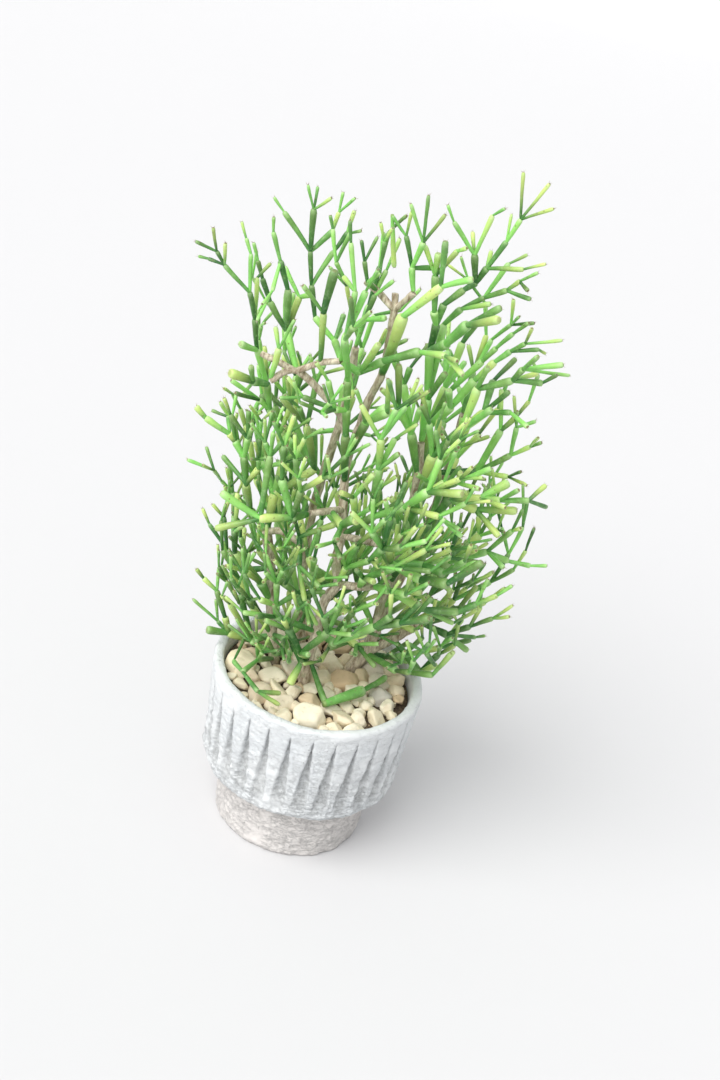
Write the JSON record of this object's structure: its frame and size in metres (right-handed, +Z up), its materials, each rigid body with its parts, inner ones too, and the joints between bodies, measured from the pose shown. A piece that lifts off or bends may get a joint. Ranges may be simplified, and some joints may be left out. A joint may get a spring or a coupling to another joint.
{
  "type": "potted hatiora cactus",
  "caption": "Bushy jointed cactus with thin bottle-shaped green stem segments on slim woody stems, rooted under pebbles in a round fluted cement pot on a narrower foot.",
  "frame": {"origin": "on the pot's axis, in the plane that the foot stands on", "axes": "+Z up along the pot's axis, +X to the right and +Y to the back, as the picture faces the plant"},
  "size_m": [0.1744, 0.1152, 0.3309],
  "materials": {
    "cement": "rough whitewashed cement, greyer in the flutes, no glaze",
    "soil": "dark crumbly potting mix",
    "pebbles": "matte cream and tan pebbles",
    "bark": "grey-brown bark of old stems",
    "stem_green": "waxy green stem segments, yellow-green where young"
  },
  "bodies": {
    "root": {"pot": "cement", "soil": "soil", "gravel": "pebbles", "stem_centre": "bark", "stem_left": "bark", "stem_right": "bark", "stem_back": "bark", "stem_back_right": "bark", "far_left": "stem_green", "left_low_fork": "stem_green", "left_mid": "stem_green", "left_light": "stem_green", "left_crown": "stem_green", "left_crown2": "stem_green", "gold_arm": "stem_green", "crown_arm_left": "stem_green", "crown_arm_right": "stem_green", "thick_front": "stem_green", "right_spire": "stem_green", "right_shoulder": "stem_green", "right_bough": "stem_green", "right_wing": "stem_green", "right_fan": "stem_green", "right_arm": "stem_green", "right_low_arm": "stem_green", "right_low_spray": "stem_green", "front_right_low": "stem_green", "right_floor": "stem_green", "front_middle": "stem_green", "front_long": "stem_green", "front_uplift": "stem_green", "front_left_up": "stem_green", "front_left_down": "stem_green", "centre_right": "stem_green", "centre_up": "stem_green", "centre_left": "stem_green", "front_stem": "stem_green", "front_floor": "stem_green", "left_bend": "stem_green", "left_side": "stem_green", "left_stub": "stem_green", "left_low": "stem_green", "left_floor": "stem_green", "pale_stem": "stem_green", "centre_bush": "stem_green", "centre_dark": "stem_green", "back_low_left": "stem_green", "back_low": "stem_green", "back_left": "stem_green", "back_mid": "stem_green", "back_high_left": "stem_green", "back_high": "stem_green", "back_top": "stem_green", "back_right_low": "stem_green", "back_right_side": "stem_green", "back_right_mid": "stem_green", "back_right_high": "stem_green", "back_right_top": "stem_green", "low_bush_left": "stem_green", "low_bush_right": "stem_green"}
  },
  "joints": []
}
